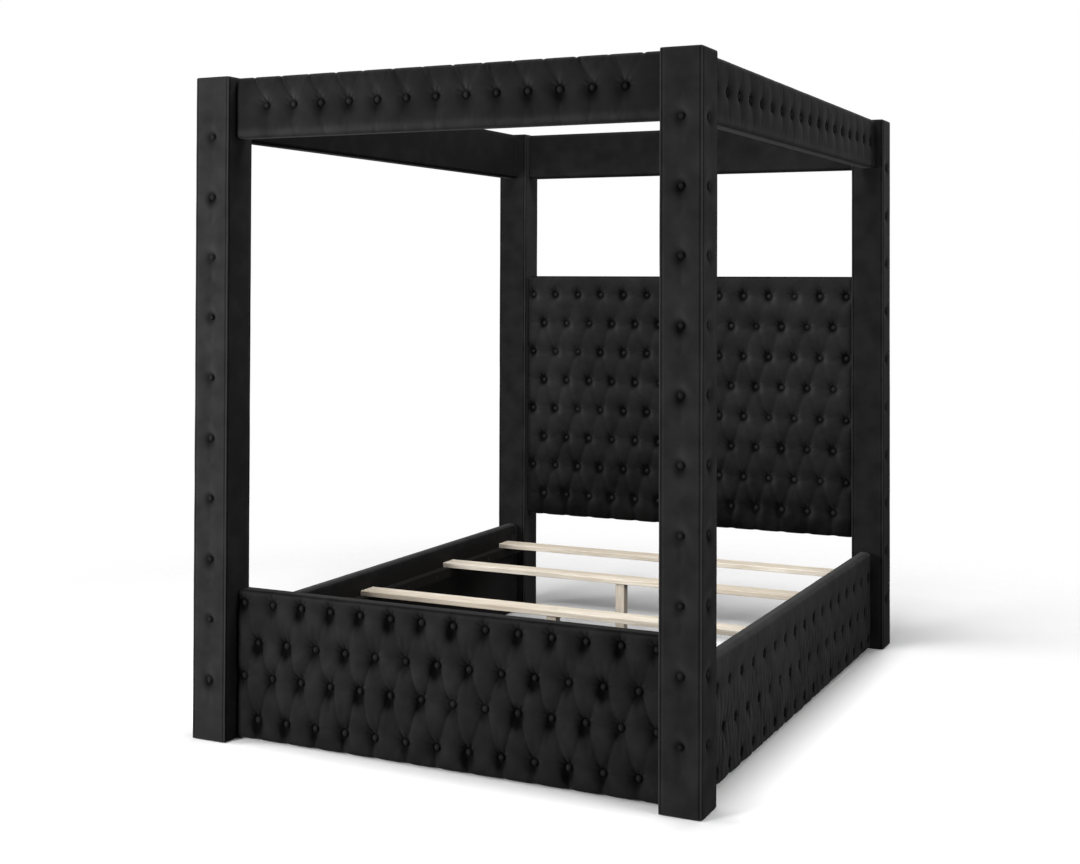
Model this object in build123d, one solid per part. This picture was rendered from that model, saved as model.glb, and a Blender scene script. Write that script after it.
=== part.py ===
from build123d import *

import os

# A four poster canopy bed for a queen mattress, with tufted velvet over a timber frame. Millimetres.
# +Z is up, +Y points at the headboard, and +X is the right side seen from the foot of the bed.
# The origin is on the floor under the middle of the bed.

# Overall size
bed_width = 1796.0
bed_length = 2376.0
bed_height = 2210.0

# Posts: a square timber core inside a padded velvet cover
post_size = 133.0
post_pad = 22.0
post_core = post_size - 2 * post_pad
post_edge_radius = 8.0
cover_floor_gap = 2.0
glide_height = 6.0
glide_radius = 26.0

# Room between the posts, across and along the bed
panel_width = bed_width - 2 * post_size
panel_length = bed_length - 2 * post_size
end_gap = 1.0
cloth = 2.0
wrap_drop = 36.0
panel_floor_gap = 5.0

# Footboard
foot_recess = 58.0
foot_depth = 66.0
foot_pad = 26.0
foot_top = 498.0
foot_rows = (455.0, 327.0, 213.0, 72.0)

# Headboard
head_recess = 25.0
head_depth = 70.0
head_pad = 28.0
head_bottom = 450.0
head_top = 1551.0
head_rows = tuple(1465.0 - 131.0 * row for row in range(8))

# Side rails, with the ledge that carries the slats
rail_recess = 50.0
rail_depth = 48.0
rail_pad = 24.0
rail_top = 405.0
rail_rows = (304.0, 174.0, 48.0)
lining_end_gap = 60.0
ledge_width = 38.0
ledge_height = 38.0
ledge_end_gap = 15.0
ledge_screws_per_side = 9

# Canopy rails
canopy_top = 2207.0
canopy_bottom = 2004.0
canopy_depth = 60.0
canopy_pad = 18.0
canopy_end_recess = 38.0
canopy_side_recess = 32.0
canopy_row = 2110.0
canopy_edge_radius = 12.0

# Tufting: how many buttons a long row has, and how far apart they are
cross_count = 14
cross_pitch = 113.2
rail_count = 18
rail_pitch = 119.8
canopy_end_count = 13
canopy_end_pitch = 107.0
canopy_side_count = 18
canopy_side_pitch = 115.0
post_button_count = 10
pad_edge_radius = 16.0
button_radius = 12.0
button_height = 7.0
button_rim = 2.5
button_seat_radius = 13.0
panel_dimple = (13.0, 24.0)
canopy_dimple = (9.0, 26.0)
post_dimple = (8.0, 24.0)

# Slats, each with one centre leg and a levelling glide
slat_top = 340.0
slat_thickness = 19.0
slat_width = 89.0
slat_side_gap = 4.0
slat_edge = 1.5
slat_places = (-900.0, -262.0, 385.0, 903.0)
leg_size = 38.0
leg_floor_gap = 24.0
stem_radius = 4.0
stem_clearance = 0.05
stem_length = 44.0
levelling_travel = 12.0
leg_glide_radius = 17.0
leg_glide_height = 8.0

# Screws and bolts
screw_radius = 2.25
screw_head_radius = 4.5
screw_head_height = 3.0
screw_length = 60.0
ledge_screw_length = 50.0
screw_offset = 10.0
fit_gap = 0.1
bolt_radius = 4.0
bolt_length = 156.0
bolt_head_width = 13.0
bolt_head_height = 6.0
bolt_pocket_depth = 8.0
bolt_pocket_radius = 10.0
bolt_gap = 0.25
foot_bolts = (160.0, 400.0)
foot_bolt_offset = 7.0
head_bolts = (600.0, 1000.0, 1400.0)
rail_bolts = (110.0, 240.0)
canopy_end_bolt = 2070.0
canopy_side_bolt = 2145.0

# Places worked out from the sizes above
half_width = bed_width / 2
half_length = bed_length / 2
post_x = half_width - post_size / 2
post_y = half_length - post_size / 2
rail_inner_x = half_width - rail_recess - rail_depth
ledge_top = slat_top - slat_thickness
ledge_inner_x = rail_inner_x - ledge_width
sides = {"left": -1, "right": 1}
ends = {"foot": -1, "head": 1}
low = (Align.CENTER, Align.CENTER, Align.MIN)


def block(x, y, z):
    # A box between its low and high limits along each axis.
    limits = (x, y, z)
    size = [high - low_end for low_end, high in limits]
    centre = [(high + low_end) / 2 for low_end, high in limits]
    return Pos(*centre) * Box(*size)


def button():
    # A covered button: a flat back, a short rim and a domed front that points along +Z.
    rise = button_height - button_rim
    dome_radius = (button_radius**2 + rise**2) / (2 * rise)
    dome = Pos(0, 0, button_height - dome_radius) * Sphere(dome_radius)
    return Cylinder(button_radius, button_height, align=low) & dome


def dimple(shape):
    # The hollow that a button sits in, open towards +Z at the face of the pad.
    depth, mouth_radius = shape
    return Pos(0, 0, -depth) * Cone(button_seat_radius, mouth_radius, depth, align=low)


def seats(face, points):
    # One place on a tufted face for each button.
    return [face.location * Pos(u, v, 0) for u, v in points]


def tuft(pad, places, shape):
    # Cuts a dimple in the pad at each place.
    return pad - [place * dimple(shape) for place in places]


def buttons(places, shape):
    # One button at the bottom of each dimple, as a group of separate solids.
    seat = Pos(0, 0, -shape[0])
    return Compound(children=[place * seat * button() for place in places])


def centred_row(count, pitch):
    # Evenly spaced places with their middle at zero.
    start = -pitch * (count - 1) / 2
    return [start + pitch * step for step in range(count)]


def diamond_points(heights, count, pitch):
    # Rows of buttons in which every second row has one button fewer, set between those above.
    points = []
    for number, height in enumerate(heights):
        row = centred_row(count - number % 2, pitch)
        points += [(place, height) for place in row]
    return points


def facing_foot(y):
    # An upright face that looks towards the foot of the bed.
    return Plane(origin=(0, y, 0), x_dir=(1, 0, 0), z_dir=(0, -1, 0))


def facing_side(side, x, y=0.0):
    # An upright face that looks outwards, to the left or to the right.
    return Plane(origin=(side * x, y, 0), x_dir=(0, side, 0), z_dir=(side, 0, 0))


def bolt():
    # A bed bolt: its hexagonal head lies below the origin and its shank points along +Z.
    head = extrude(RegularPolygon(bolt_head_width / 2, 6, major_radius=False), -bolt_head_height)
    return head + Cylinder(bolt_radius, bolt_length, align=low)


def bolt_hole():
    # The room that a bed bolt takes: a pocket for its head and a hole for its shank.
    pocket = Pos(0, 0, -bolt_pocket_depth) * Cylinder(bolt_pocket_radius, bolt_pocket_depth, align=low)
    return pocket + Cylinder(bolt_radius + bolt_gap, bolt_length + bolt_gap, align=low)


def bolts_across(y, heights):
    # Bolts that hold a cross panel between the left and right posts.
    head_x = half_width - post_pad - bolt_pocket_depth
    return [Location((s * head_x, y, z), (0, -90 * s, 0)) for s in (-1, 1) for z in heights]


def bolts_along(side, x, heights):
    # Bolts that hold a side rail between the foot and head posts.
    head_y = half_length - post_pad - bolt_pocket_depth
    return [Location((side * x, s * head_y, z), (90 * s, 0, 0)) for s in (-1, 1) for z in heights]


def screw(length):
    # A flat-headed screw: the top of its head is at the origin and it points along -Z.
    head = Pos(0, 0, -screw_head_height) * Cylinder(screw_head_radius, screw_head_height, align=low)
    return head + Pos(0, 0, -length) * Cylinder(screw_radius, length, align=low)


def screw_hole(length):
    # The room that a screw takes.
    head = Pos(0, 0, -screw_head_height)
    head *= Cylinder(screw_head_radius + fit_gap, screw_head_height, align=low)
    return head + Pos(0, 0, -length) * Cylinder(screw_radius + fit_gap, length, align=low)


def ledge_screw_places(side):
    # Screws that go through the ledge into the side rail's board.
    pitch = (panel_length - 2 * ledge_end_gap) / ledge_screws_per_side
    height = ledge_top - ledge_height / 2
    row = centred_row(ledge_screws_per_side, pitch)
    return [Location((side * ledge_inner_x, y, height), (0, -90 * side, 0)) for y in row]


def wrapped_pad(length, depth, front, bottom, top):
    # Padding on the front of a board, folded over its top and a little way down its back.
    # It faces -Y with its front at y = 0, and it is centred along X.
    half = length / 2 - end_gap
    span = (-half, half)
    pad = block(span, (0, depth), (bottom, top))
    front_edges = pad.faces().sort_by(Axis.Y)[0].edges()
    pad = fillet(front_edges, pad_edge_radius)
    pad -= block(span, (front, depth - cloth), (bottom, top - pad_edge_radius))
    return pad - block(span, (depth - cloth, depth), (bottom, top - wrap_drop))


def sleeve(length):
    # The padded velvet sleeve of a canopy rail, round a board that runs through it.
    half = length / 2 - end_gap
    span = (-half, half)
    outer = block(span, (0, canopy_depth), (canopy_bottom, canopy_top))
    outer = fillet(outer.edges().filter_by(Axis.X), canopy_edge_radius)
    inside = (canopy_pad, canopy_depth - canopy_pad)
    return outer - block(span, inside, (canopy_bottom + canopy_pad, canopy_top - canopy_pad))


def sleeve_board(length):
    # The board inside a canopy rail's sleeve.
    half = length / 2 - end_gap
    inside = (canopy_pad, canopy_depth - canopy_pad)
    return block((-half, half), inside, (canopy_bottom + canopy_pad, canopy_top - canopy_pad))


def post_faces(end, side):
    # The tufted faces of a post: the outer side of every post, and the foot side of the foot posts.
    faces = [facing_side(side, half_width, end * post_y)]
    if end < 0:
        faces.append(Plane(origin=(side * post_x, -half_length, 0), x_dir=(1, 0, 0), z_dir=(0, -1, 0)))
    return faces


def post_button_places(end, side):
    # One column of buttons down the middle of each tufted face.
    spacing = bed_height / (post_button_count + 1)
    column = [(0, spacing * (number + 1)) for number in range(post_button_count)]
    places = []
    for face in post_faces(end, side):
        places += seats(face, column)
    return places


def post_cover(end, side, holes):
    # The padded velvet cover of a post, closed over the top.
    height = bed_height - cover_floor_gap
    cover = Pos(0, 0, cover_floor_gap) * Box(post_size, post_size, height, align=low)
    upright = cover.edges().filter_by(Axis.Z)
    rim = cover.faces().sort_by(Axis.Z)[-1].edges()
    cover = fillet(upright + rim, post_edge_radius)
    cover -= Box(post_core, post_core, bed_height - post_pad, align=low)
    cover = Pos(side * post_x, end * post_y, 0) * cover
    return tuft(cover, post_button_places(end, side), post_dimple) - holes


def post_core_solid(end, side, holes):
    # The timber core of a post, bored for the bed bolts.
    height = bed_height - post_pad - glide_height
    core = Box(post_core, post_core, height, align=low)
    return Pos(side * post_x, end * post_y, glide_height) * core - holes


def post_glides():
    # The plastic glides that the four posts stand on.
    glide = Cylinder(glide_radius, glide_height, align=low)
    glide = chamfer(glide.faces().sort_by(Axis.Z)[0].edges(), 1.5)
    return Compound(children=[Pos(x * post_x, y * post_y, 0) * glide for x in (-1, 1) for y in (-1, 1)])


def near_post(places, end, side):
    # The bolt places that belong to one post.
    return [p for p in places if p.position.X * side > 0 and p.position.Y * end > 0]


def footboard(bolt_places):
    # Board, pad, buttons and inside lining of the footboard.
    face_y = foot_recess - half_length
    place = Pos(0, face_y, 0)
    half = panel_width / 2 - end_gap
    back = foot_depth - cloth
    board_top = foot_top - pad_edge_radius
    board = place * block((-half, half), (foot_pad, back), (panel_floor_gap, board_top))
    pad = place * wrapped_pad(panel_width, foot_depth, foot_pad, panel_floor_gap, foot_top)
    lining_top = foot_top - wrap_drop
    lining = place * block((-half, half), (back, foot_depth), (panel_floor_gap, lining_top))
    points = diamond_points(foot_rows, cross_count, cross_pitch)
    places = seats(facing_foot(face_y), points)
    return {
        "footboard_board": board - [p * bolt_hole() for p in bolt_places],
        "footboard_pad": tuft(pad, places, panel_dimple),
        "footboard_buttons": buttons(places, panel_dimple),
        "footboard_lining": lining,
    }


def headboard(bolt_places):
    # Board, pad, buttons and back cloth of the headboard.
    face_y = half_length - post_size + head_recess
    place = Pos(0, face_y, 0)
    half = panel_width / 2 - end_gap
    back = head_depth - cloth
    board = place * block((-half, half), (head_pad, back), (head_bottom, head_top - pad_edge_radius))
    pad = place * wrapped_pad(panel_width, head_depth, head_pad, head_bottom, head_top)
    back_cloth = place * block((-half, half), (back, head_depth), (head_bottom, head_top - wrap_drop))
    points = diamond_points(head_rows, cross_count, cross_pitch)
    places = seats(facing_foot(face_y), points)
    return {
        "headboard_board": board - [p * bolt_hole() for p in bolt_places],
        "headboard_pad": tuft(pad, places, panel_dimple),
        "headboard_buttons": buttons(places, panel_dimple),
        "headboard_back_cloth": back_cloth,
    }


def side_rail(name, bolt_places):
    # Board, pad, buttons, inside lining and slat ledge of one side rail.
    side = sides[name]
    face_x = half_width - rail_recess
    place = Location((side * face_x, 0, 0), (0, 0, 90 * side))
    half = panel_length / 2 - end_gap
    back = rail_depth - cloth
    board_top = rail_top - pad_edge_radius
    board = place * block((-half, half), (rail_pad, back), (panel_floor_gap, board_top))
    pad = place * wrapped_pad(panel_length, rail_depth, rail_pad, panel_floor_gap, rail_top)
    lining_half = panel_length / 2 - lining_end_gap
    lining_top = rail_top - wrap_drop
    lining = place * block((-lining_half, lining_half), (back, rail_depth), (panel_floor_gap, lining_top))
    ledge_half = panel_length / 2 - ledge_end_gap
    ledge_depth = (rail_depth, rail_depth + ledge_width)
    ledge = place * block((-ledge_half, ledge_half), ledge_depth, (ledge_top - ledge_height, ledge_top))
    places = seats(facing_side(side, face_x), diamond_points(rail_rows, rail_count, rail_pitch))
    screw_holes = [p * screw_hole(ledge_screw_length) for p in ledge_screw_places(side)]
    return {
        name + "_rail_board": board - [p * bolt_hole() for p in bolt_places] - screw_holes,
        name + "_rail_pad": tuft(pad, places, panel_dimple),
        name + "_rail_buttons": buttons(places, panel_dimple),
        name + "_rail_lining": lining - screw_holes,
        name + "_rail_ledge": ledge - screw_holes,
    }


def canopy_end_rail(name, bolt_places):
    # Board and sleeve of the canopy rail over the foot or the head; only the foot one is tufted.
    end = ends[name]
    face_y = half_length - canopy_end_recess
    place = Location((0, end * face_y, 0), (0, 0, 90 + 90 * end))
    board = place * sleeve_board(panel_width)
    cover = place * sleeve(panel_width)
    nodes = {"canopy_" + name + "_board": board - [p * bolt_hole() for p in bolt_places]}
    if end < 0:
        points = diamond_points((canopy_row,), canopy_end_count, canopy_end_pitch)
        places = seats(facing_foot(-face_y), points)
        cover = tuft(cover, places, canopy_dimple)
        nodes["canopy_" + name + "_buttons"] = buttons(places, canopy_dimple)
    nodes["canopy_" + name + "_cover"] = cover
    return nodes


def canopy_side_rail(name, bolt_places):
    # Board, sleeve and buttons of the canopy rail over one side of the bed.
    side = sides[name]
    face_x = half_width - canopy_side_recess
    place = Location((side * face_x, 0, 0), (0, 0, 90 * side))
    board = place * sleeve_board(panel_length)
    points = diamond_points((canopy_row,), canopy_side_count, canopy_side_pitch)
    places = seats(facing_side(side, face_x), points)
    return {
        "canopy_" + name + "_board": board - [p * bolt_hole() for p in bolt_places],
        "canopy_" + name + "_cover": tuft(place * sleeve(panel_length), places, canopy_dimple),
        "canopy_" + name + "_buttons": buttons(places, canopy_dimple),
    }


def slat(number, y):
    # One slat with its centre leg, the screws that join them, and the leg's levelling glide.
    half = rail_inner_x - slat_side_gap
    board = block((-half, half), (y - slat_width / 2, y + slat_width / 2), (ledge_top, slat_top))
    board = chamfer(board.edges(), slat_edge)
    leg = Pos(0, y, leg_floor_gap) * Box(leg_size, leg_size, ledge_top - leg_floor_gap, align=low)
    leg = chamfer(leg.edges().filter_by(Axis.Z), slat_edge)
    bore_radius = stem_radius + stem_clearance
    bore = Cylinder(bore_radius, stem_length + levelling_travel + fit_gap, align=low)
    leg -= Pos(0, y, leg_glide_height) * bore
    places = [Pos(offset, y, slat_top) for offset in (-screw_offset, screw_offset)]
    screw_holes = [place * screw_hole(screw_length) for place in places]
    foot = Cylinder(leg_glide_radius, leg_glide_height, align=low)
    foot = chamfer(foot.faces().sort_by(Axis.Z)[0].edges(), 1.5)
    glide = foot + Pos(0, 0, leg_glide_height) * Cylinder(stem_radius, stem_length, align=low)
    name = "slat_" + str(number)
    return {
        name: board - screw_holes,
        name + "_leg": leg - screw_holes,
        name + "_screws": Compound(children=[place * screw(screw_length) for place in places]),
        name + "_glide": Pos(0, y, 0) * glide,
    }


def all_bolts():
    # Where the bed bolts go, by the panel that they hold.
    foot_y = foot_recess + (foot_pad + foot_depth - cloth) / 2 - foot_bolt_offset - half_length
    head_y = half_length - post_size + head_recess + (head_pad + head_depth - cloth) / 2
    rail_x = half_width - rail_recess - (rail_pad + rail_depth - cloth) / 2
    canopy_y = half_length - canopy_end_recess - canopy_depth / 2
    canopy_x = half_width - canopy_side_recess - canopy_depth / 2
    return {
        "footboard": bolts_across(foot_y, foot_bolts),
        "headboard": bolts_across(head_y, head_bolts),
        "left_rail": bolts_along(-1, rail_x, rail_bolts),
        "right_rail": bolts_along(1, rail_x, rail_bolts),
        "canopy_foot": bolts_across(-canopy_y, (canopy_end_bolt,)),
        "canopy_head": bolts_across(canopy_y, (canopy_end_bolt,)),
        "canopy_left": bolts_along(-1, canopy_x, (canopy_side_bolt,)),
        "canopy_right": bolts_along(1, canopy_x, (canopy_side_bolt,)),
    }


def posts(places):
    # Core, cover and buttons of the four posts.
    nodes = {}
    for end_name, end in ends.items():
        for side_name, side in sides.items():
            name = end_name + "_" + side_name + "_post"
            holes = [place * bolt_hole() for place in near_post(places, end, side)]
            nodes[name + "_core"] = post_core_solid(end, side, holes)
            nodes[name + "_cover"] = post_cover(end, side, holes)
            nodes[name + "_buttons"] = buttons(post_button_places(end, side), post_dimple)
    return nodes


def bed():
    # Every piece of the bed, by its node name.
    bolts = all_bolts()
    every_bolt = sum(bolts.values(), [])
    nodes = posts(every_bolt)
    nodes["post_glides"] = post_glides()
    nodes.update(footboard(bolts["footboard"]))
    nodes.update(headboard(bolts["headboard"]))
    for name in sides:
        nodes.update(side_rail(name, bolts[name + "_rail"]))
        nodes.update(canopy_side_rail(name, bolts["canopy_" + name]))
    for name in ends:
        nodes.update(canopy_end_rail(name, bolts["canopy_" + name]))
    for number, y in enumerate(slat_places, start=1):
        nodes.update(slat(number, y))
    nodes["bed_bolts"] = Compound(children=[place * bolt() for place in every_bolt])
    ledge_screws = [p * screw(ledge_screw_length) for s in (-1, 1) for p in ledge_screw_places(s)]
    nodes["ledge_screws"] = Compound(children=ledge_screws)
    return nodes


os.makedirs("parts", exist_ok=True)
for node, shape in bed().items():
    export_step(shape, "parts/" + node + ".step")
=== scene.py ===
import math

import bmesh
import bpy
import numpy as np
from mathutils import Matrix, Vector


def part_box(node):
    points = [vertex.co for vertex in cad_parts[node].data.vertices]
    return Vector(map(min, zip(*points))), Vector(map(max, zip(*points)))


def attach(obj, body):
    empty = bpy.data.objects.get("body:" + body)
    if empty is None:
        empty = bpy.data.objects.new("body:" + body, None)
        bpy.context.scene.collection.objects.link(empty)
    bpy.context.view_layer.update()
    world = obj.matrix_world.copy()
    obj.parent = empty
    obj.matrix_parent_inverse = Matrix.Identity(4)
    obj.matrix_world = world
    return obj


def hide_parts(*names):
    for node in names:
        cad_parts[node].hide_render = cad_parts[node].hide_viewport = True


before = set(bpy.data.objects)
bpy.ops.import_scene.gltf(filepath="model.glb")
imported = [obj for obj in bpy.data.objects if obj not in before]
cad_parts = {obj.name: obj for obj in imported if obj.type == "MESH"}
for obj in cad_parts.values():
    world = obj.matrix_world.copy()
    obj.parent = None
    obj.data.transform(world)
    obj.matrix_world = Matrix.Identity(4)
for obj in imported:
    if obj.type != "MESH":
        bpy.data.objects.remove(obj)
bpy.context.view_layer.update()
fixedBody = "bed_frame"
mm = 0.001


def deselectAll():
    if bpy.context.mode != "OBJECT":
        bpy.ops.object.mode_set(mode="OBJECT")
    bpy.ops.object.select_all(action="DESELECT")


def finishPiece(piece, name, place=None):
    # leaves the object at the origin, with its place in its mesh
    deselectAll()
    piece.name = name
    piece.data.name = name
    if place is not None:
        piece.matrix_world = place @ piece.matrix_world
    piece.select_set(True)
    bpy.context.view_layer.objects.active = piece
    bpy.ops.object.transform_apply(location=True, rotation=True, scale=True)
    return piece


def startBox(name, low, high):
    deselectAll()
    size = [b - a for a, b in zip(low, high)]
    centre = [(a + b) / 2 for a, b in zip(low, high)]
    bpy.ops.mesh.primitive_cube_add(size=1, location=centre)
    piece = bpy.context.active_object
    piece.scale = size
    return finishPiece(piece, name)


def editMesh(piece, mode=(False, False, True)):
    bpy.context.view_layer.objects.active = piece
    piece.select_set(True)
    bpy.ops.object.mode_set(mode="EDIT")
    bpy.context.tool_settings.mesh_select_mode = mode


def selectOnly(piece, items, wanted):
    # items is "faces" or "edges"; wanted says whether one of them is to be selected
    bpy.ops.mesh.select_all(action="DESELECT")
    shape = bmesh.from_edit_mesh(piece.data)
    chosen = [item for item in getattr(shape, items) if wanted(item)]
    for item in chosen:
        item.select_set(True)
    shape.select_flush_mode()
    bmesh.update_edit_mesh(piece.data)


def cutAlong(piece, axis, cells):
    # cuts every edge that runs along one axis into equal cells
    editMesh(piece, (False, True, False))
    groups = max(1, math.ceil(cells / 90))
    each = math.ceil(cells / groups)
    for count in (groups, each):
        if count < 2:
            continue

        def runsAlong(edge):
            way = edge.verts[1].co - edge.verts[0].co
            return abs(way[axis]) > 0.9 * way.length

        selectOnly(piece, "edges", runsAlong)
        bpy.ops.mesh.subdivide(number_cuts=count - 1)
    bpy.ops.object.mode_set(mode="OBJECT")


def extrudeBy(step, times=1):
    for _ in range(times):
        bpy.ops.mesh.extrude_region_move(TRANSFORM_OT_translate={"value": step})


def points(piece):
    count = len(piece.data.vertices)
    flat = np.empty(count * 3)
    piece.data.vertices.foreach_get("co", flat)
    return flat.reshape(count, 3)


def movePoints(piece, where):
    piece.data.vertices.foreach_set("co", np.ascontiguousarray(where).ravel())
    piece.data.update()


def roundBox(where, low, high, radius):
    # brings everything outside a rounded box onto its surface
    inner = np.clip(where, np.array(low) + radius, np.array(high) - radius)
    away = where - inner
    far = np.linalg.norm(away, axis=1)
    scale = np.where(far > radius, radius / np.maximum(far, 1e-9), 1.0)
    return inner + away * scale[:, None]


def smoothShade(piece, degrees=50):
    deselectAll()
    piece.select_set(True)
    bpy.context.view_layer.objects.active = piece
    bpy.ops.object.shade_smooth_by_angle(angle=math.radians(degrees))


buttonSpread = 30 * mm


def buttonGroups(node):
    # the lowest and highest corner of each button in a node, which holds many separate buttons
    left = points(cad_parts[node])
    groups = []
    while len(left):
        near = np.linalg.norm(left - left[0], axis=1) < buttonSpread
        groups.append((left[near].min(axis=0), left[near].max(axis=0)))
        left = left[~near]
    return groups


def buttonCentres(node):
    return np.array([(small + large) / 2 for small, large in buttonGroups(node)])


def localFrame(node, turn):
    # a frame with the piece's outer face at y = 0, looking along -Y, and its middle at x = 0
    low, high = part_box(node)
    centre = (low + high) / 2
    spin = Matrix.Rotation(math.radians(turn), 4, "Z")
    size = spin.inverted() @ (high - low)
    length, depth = abs(size.x), abs(size.y)
    back = Matrix.Translation((0, -depth / 2, 0))
    place = Matrix.Translation((centre.x, centre.y, 0)) @ spin @ back
    return place, length, depth, low.z, high.z


def toLocal(place, centres):
    inverse = place.inverted()
    return np.array([inverse @ Vector(c) for c in centres])


def pleatBetweenRows(spots, rowReach, sideReach):
    # joins each button to its neighbours in the next row down, more firmly lower on the panel
    pleats = []
    highest = max(s[1] for s in spots)
    for a in spots:
        for b in spots:
            drop = a[1] - b[1]
            if 0.04 < drop < rowReach and 0.01 < abs(a[0] - b[0]) < sideReach:
                strength = 0.45 if highest - a[1] < 0.03 else 1.0
                pleats.append((a[0], a[1], b[0], b[1], strength))
    return pleats


creaseShape = {
    "strength": (0.5, 1.3), "bend": (0.2, 1), "shoulder": 2.4, "crease": 0.6, "side": 1.8,
    "middle": 0.4, "fadePower": 1.4,
}


def pleatField(u, v, pleats, chance, width, bow):
    # how far each place on the face lies in a fold: soft shoulders first, then the sharp crease
    shape = creaseShape
    soft = np.zeros_like(u)
    sharp = np.zeros_like(u)
    sides = np.zeros_like(u)
    for u0, v0, u1, v1, strength in pleats:
        amount = strength * chance.uniform(*shape["strength"])
        bend = chance.uniform(*shape["bend"]) * bow * (1 if u1 > u0 else -1)
        margin = 4 * width + bow
        near = (u > min(u0, u1) - margin) & (u < max(u0, u1) + margin)
        near &= (v > min(v0, v1) - margin) & (v < max(v0, v1) + margin)
        if not near.any():
            continue
        length = math.hypot(u1 - u0, v1 - v0)
        wayU, wayV = (u1 - u0) / length, (v1 - v0) / length
        du, dv = u[near] - u0, v[near] - v0
        along = (du * wayU + dv * wayV) / length
        inside = np.clip(along, 0, 1)
        across = du * -wayV + dv * wayU - bend * np.sin(2 * math.pi * inside)
        over = np.abs(along - inside) * length
        reach = np.hypot(across, over)
        fade = shape["middle"] + (1 - shape["middle"]) * np.abs(2 * inside - 1) ** shape["fadePower"]
        shoulder = np.exp(-(reach / (shape["shoulder"] * width)) ** 2)
        crease = np.exp(-(reach / (shape["crease"] * width)) ** 2)
        soft[near] = np.maximum(soft[near], amount * fade * shoulder)
        sharp[near] = np.maximum(sharp[near], amount * fade * crease)
        # sides paints a highlight on one side of each crease and shade on the other
        rightward = across * (1 if wayV < 0 else -1)
        sides[near] += amount * fade * (rightward / width) * np.exp(-(reach / (shape["side"] * width)) ** 2)
    return soft, sharp, sides


def nearestButton(u, v, spots):
    # the distance to the nearest button, the offset from it, and which one it is
    away = np.full_like(u, 1.0)
    fromU = np.full_like(u, 1.0)
    fromV = np.full_like(u, 1.0)
    which = np.zeros(len(u), dtype=int)
    for number, (u0, v0) in enumerate(spots):
        near = (np.abs(u - u0) < 0.12) & (np.abs(v - v0) < 0.12)
        du, dv = u[near] - u0, v[near] - v0
        reach = np.hypot(du, dv)
        closer = reach < away[near]
        places = np.flatnonzero(near)[closer]
        away[places] = reach[closer]
        fromU[places] = du[closer]
        fromV[places] = dv[closer]
        which[places] = number
    return away, fromU, fromV, which


def unevenness(u, v, chance, size, amount):
    # soft hollows and swells of a hand-stretched cover
    total = np.zeros_like(u)
    for _ in range(10):
        angle = chance.uniform(0, 2 * math.pi)
        wave = size * chance.uniform(0.6, 1.8)
        phase = chance.uniform(0, 2 * math.pi)
        total += np.sin((u * math.cos(angle) + v * math.sin(angle)) * 2 * math.pi / wave + phase)
    return amount * total / 4


def streaks(u, v, chance):
    # upright, wandering pulls in the cloth
    total = np.zeros_like(u)
    for _ in range(9):
        wave = chance.uniform(0.016, 0.05)
        wander = 0.012 * np.sin(2 * math.pi * (v / chance.uniform(0.18, 0.4) + chance.uniform(0, 1)))
        reach = 0.5 + 0.5 * np.sin(2 * math.pi * (u / chance.uniform(0.3, 0.9) + chance.uniform(0, 1)))
        total += reach * np.sin(2 * math.pi * ((u + wander) / wave + chance.uniform(0, 1)))
    return total / 2.5


tuftShape = {
    "pull": (0.55, 1.25), "aside": 4 * mm, "calmReach": 12 * mm, "softShare": 0.55, "sharpShare": 0.45,
    "fanRays": 9, "fanFrom": 22 * mm, "fanWidth": 9 * mm, "fanLow": 0.35, "fanRise": 30 * mm,
    "rimFade": 6 * mm, "litHalf": 18 * mm, "litLong": 26 * mm, "shadePower": 1.6,
    "streakAbove": 0.02, "streakFade": 0.1,
}


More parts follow.
